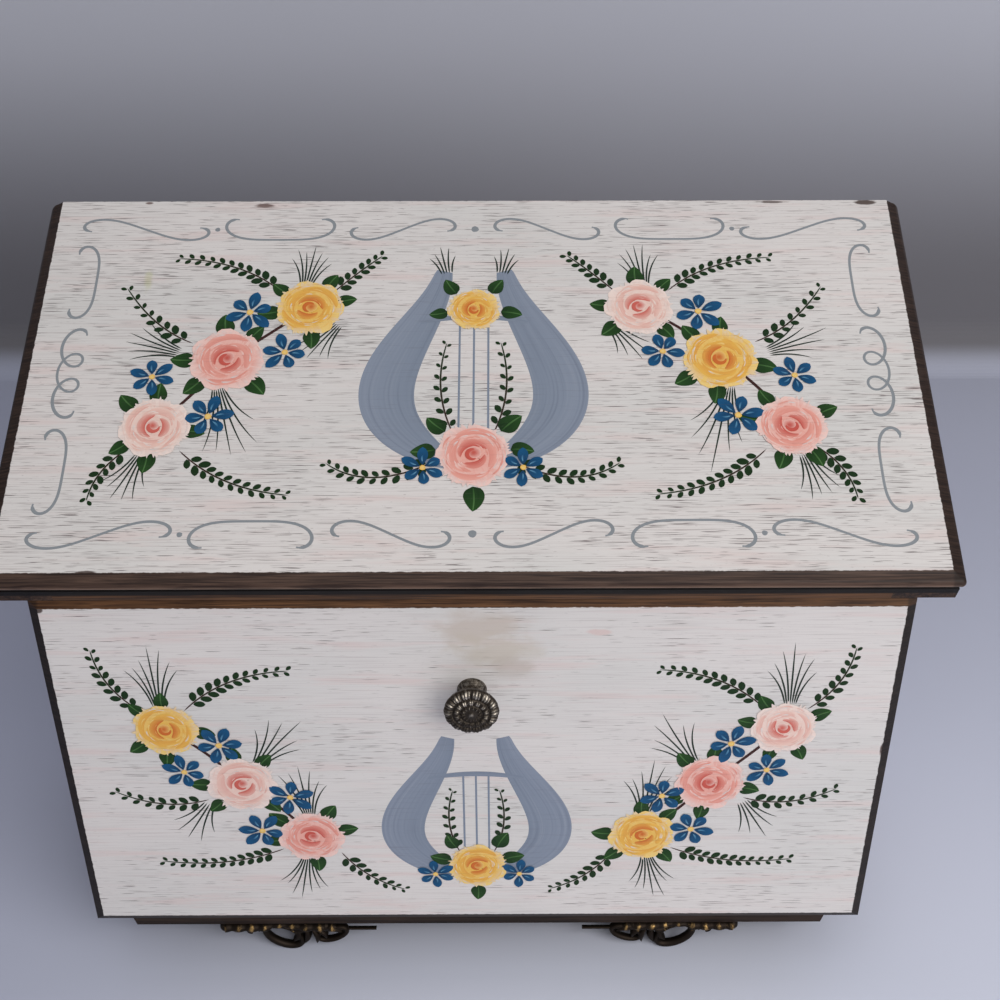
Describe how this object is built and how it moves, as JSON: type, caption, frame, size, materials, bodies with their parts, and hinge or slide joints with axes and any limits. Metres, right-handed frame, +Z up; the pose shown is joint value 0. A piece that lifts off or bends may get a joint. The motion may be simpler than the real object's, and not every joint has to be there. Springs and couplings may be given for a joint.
{
  "type": "musical jewelry box",
  "caption": "Slant-lid musical jewelry box with painted lid and fall-front door, lined well with ring rolls, cast openwork feet and a wind-up comb movement.",
  "frame": {"origin": "on the table plane, at the middle of the whole box's bounding box", "axes": "+X to the box's right as seen from the front, +Y to the back, +Z up"},
  "size_m": [0.3022, 0.1596, 0.2565],
  "materials": {
    "painted_wood": "rubbed off-white paint over dark wood, satin",
    "dark_wood": "dark brown stain, worn edges, satin",
    "antique_brass": "blackened relief with rubbed highlights",
    "velvet": "short-pile red velvet",
    "bright_brass": "thin brass plate, lightly tarnished",
    "steel": "plain steel",
    "zinc_casting": "raw zinc casting, matt",
    "black_plastic": "moulded, matt",
    "ferrite": "sintered magnet, matt",
    "mirror_glass": "silvered glass"
  },
  "bodies": {
    "case": {"side_left": "painted_wood", "side_right": "painted_wood", "bottom_board": "dark_wood", "back_board": "dark_wood", "front_rail": "dark_wood", "shelf_board": "dark_wood", "partition_board": "dark_wood", "plinth_front": "dark_wood", "plinth_back": "dark_wood", "plinth_left": "dark_wood", "plinth_right": "dark_wood", "foot_front_left": "antique_brass", "foot_front_right": "antique_brass", "foot_back_left": "antique_brass", "foot_back_right": "antique_brass", "foot_screws": "bright_brass", "catch_magnet": "ferrite", "door_hinge_case_leaves": "bright_brass", "door_hinge_pins": "bright_brass", "lid_hinge_case_leaves": "bright_brass", "lid_hinge_pins": "bright_brass", "case_hinge_screws": "bright_brass", "well_lining_floor": "velvet", "well_lining_walls": "velvet", "well_dividers": "velvet", "ring_rolls": "velvet", "compartment_lining": "velvet", "necklace_hooks": "bright_brass", "movement_bedplate": "zinc_casting", "spring_housing": "zinc_casting", "mainspring": "steel", "comb": "steel", "comb_screws": "steel", "governor_frame": "zinc_casting", "movement_screws": "steel", "key_rosette": "bright_brass"},
    "door": {"door_panel": "painted_wood", "door_lining": "velvet", "catch_strike": "steel", "door_knob": "antique_brass", "knob_screw": "steel", "door_hinge_door_leaves": "bright_brass", "door_hinge_screws": "bright_brass"},
    "lid": {"lid_board": "painted_wood", "lid_rail_front": "dark_wood", "lid_rail_back": "dark_wood", "lid_rail_left": "dark_wood", "lid_rail_right": "dark_wood", "lid_mirror": "mirror_glass", "lid_hinge_lid_leaves": "bright_brass", "lid_hinge_screws": "bright_brass"},
    "winding": {"winding_arbor": "steel", "crown_wheel": "bright_brass", "winding_key": "bright_brass"},
    "cylinder": {"music_cylinder": "bright_brass", "great_wheel": "bright_brass"},
    "spindle": {"governor_spindle": "steel"},
    "fan": {"governor_fan": "black_plastic"},
    "stop": {"stop_rod": "steel"}
  },
  "joints": [
    {"name": "lid_hinge", "type": "hinge", "parent": "case", "child": "lid", "pos_m": [0, 0.0665, 0.24129], "axis": [-1, 0, 0], "range_deg": [0, 116]},
    {"name": "door_hinge", "type": "hinge", "parent": "case", "child": "door", "pos_m": [0, -0.0573, 0.0288], "axis": [1, 0, 0], "range_deg": [0, 90]},
    {"name": "key_turn", "type": "hinge", "parent": "case", "child": "winding", "pos_m": [0, 0.06, 0.0784], "axis": [0, 1, 0], "continuous": true},
    {"name": "cylinder_turn", "type": "hinge", "parent": "case", "child": "cylinder", "pos_m": [0.03, 0.03865, 0.0784], "axis": [1, 0, 0], "continuous": true},
    {"name": "spindle_turn", "type": "hinge", "parent": "case", "child": "spindle", "pos_m": [0.03, 0.03865, 0.0659], "axis": [1, 0, 0], "continuous": true},
    {"name": "fan_turn", "type": "hinge", "parent": "case", "child": "fan", "pos_m": [0.03425, 0.03, 0.06], "axis": [0, 1, 0], "continuous": true},
    {"name": "stop_slide", "type": "slide", "parent": "case", "child": "stop", "axis": [0, 0, 1], "range_m": [0, 0.0042]}
  ],
  "couplings": [
    {"joint": "cylinder_turn", "follows": "key_turn", "ratio": -3},
    {"joint": "spindle_turn", "follows": "key_turn", "ratio": 12},
    {"joint": "fan_turn", "follows": "key_turn", "ratio": 60},
    {"joint": "stop_slide", "follows": "lid_hinge", "m_per_rad": 0.0019}
  ]
}
